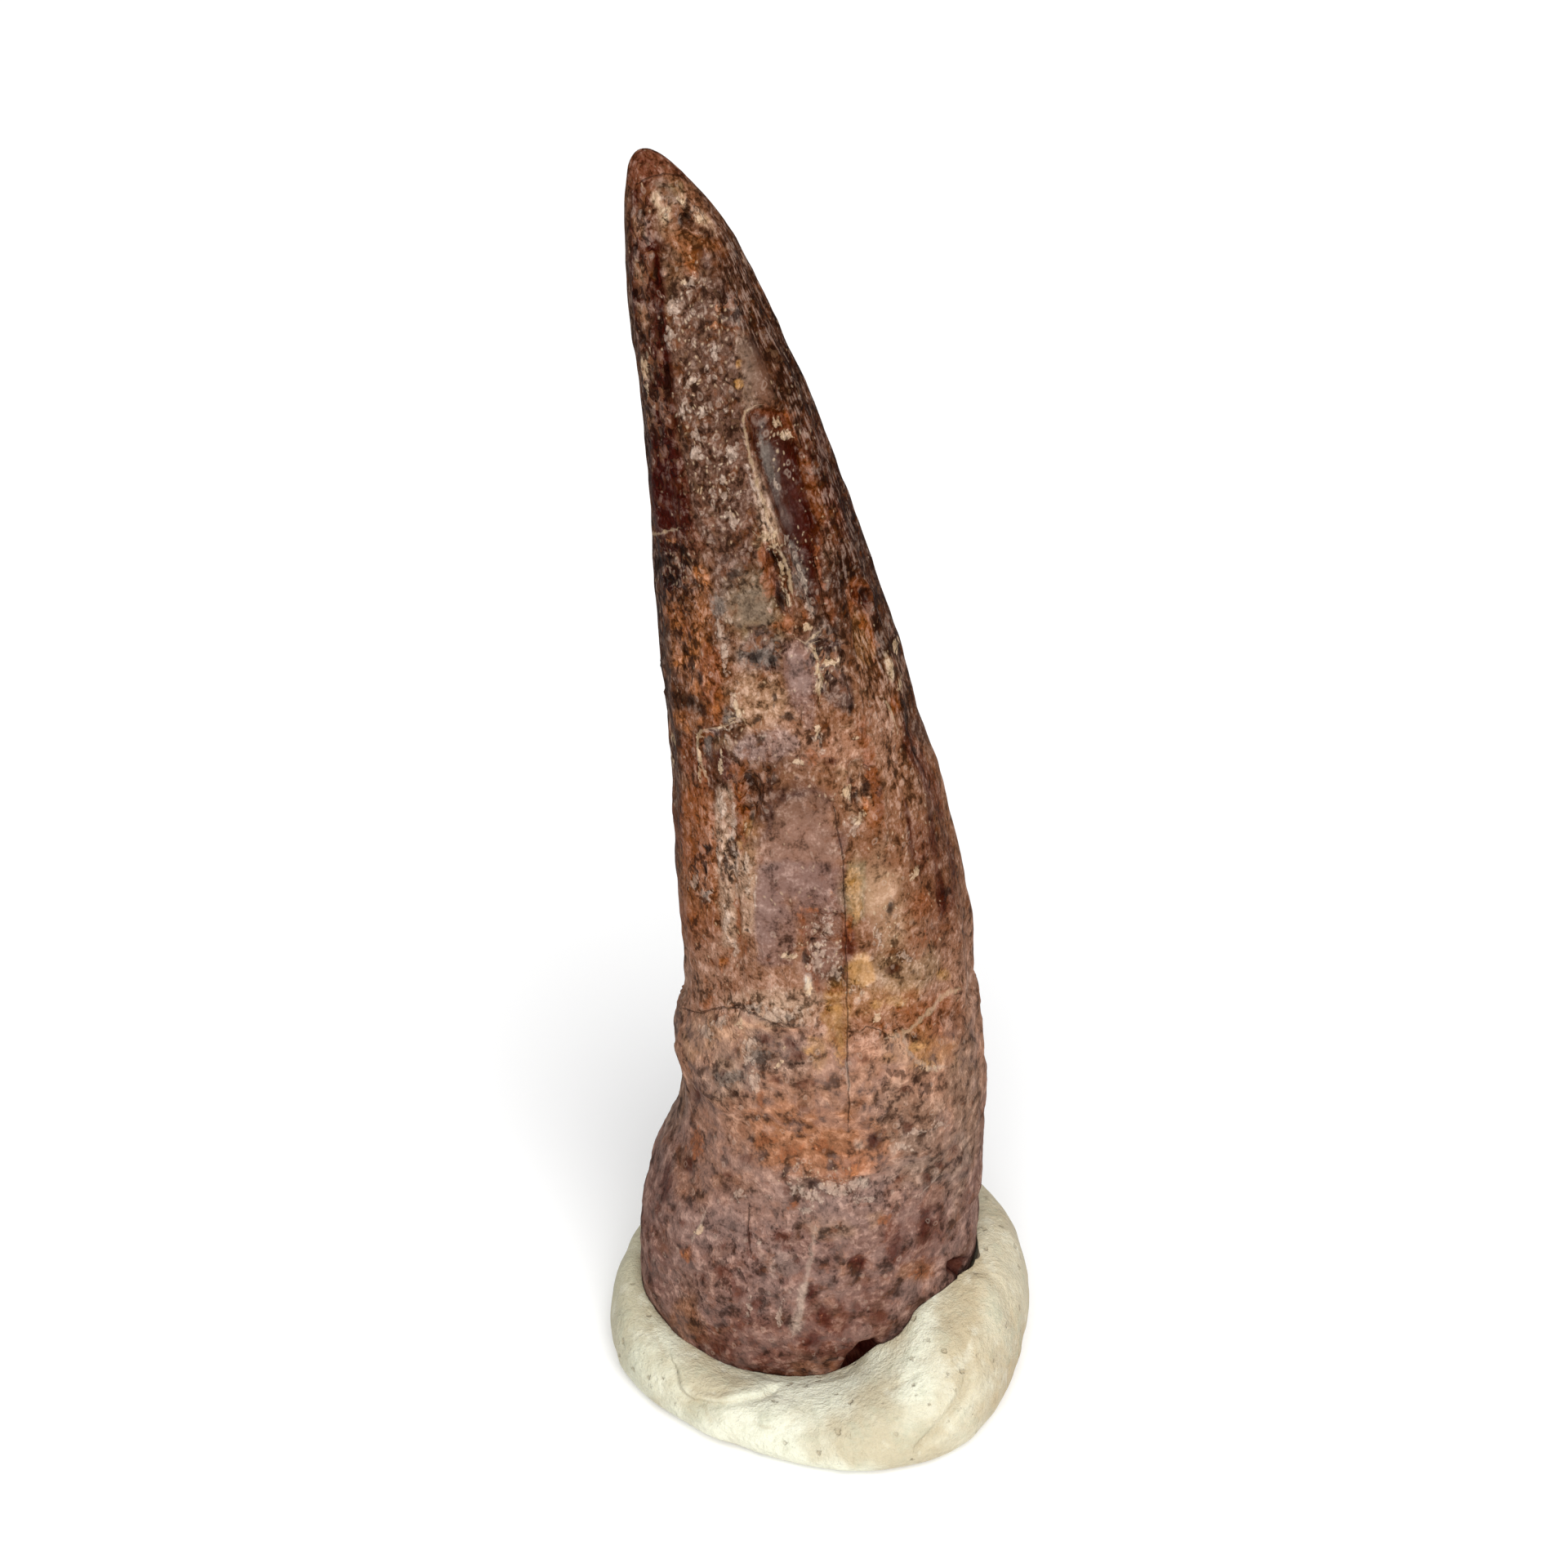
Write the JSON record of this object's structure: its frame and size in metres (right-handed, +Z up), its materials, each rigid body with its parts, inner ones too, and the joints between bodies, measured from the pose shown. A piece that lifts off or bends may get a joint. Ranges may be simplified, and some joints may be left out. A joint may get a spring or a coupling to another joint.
{
  "type": "fossil spinosaurus tooth in a putty base",
  "caption": "Long conical fossil dinosaur tooth, crown and root in one, standing upright in a pressed lump of cream mounting putty.",
  "frame": {"origin": "on the resting surface, under the middle of the putty's outline", "axes": "+Z up along the tooth, -Y towards the broad face that the picture shows, -X the way the tip leans"},
  "size_m": [0.0325, 0.0319, 0.0992],
  "materials": {
    "fossil_enamel": "mineralised enamel and root, satin, mottled red-brown and mauve",
    "cream_putty": "matte cream mounting putty"
  },
  "bodies": {
    "root": {"tooth": "fossil_enamel", "putty_base": "cream_putty"}
  },
  "joints": []
}
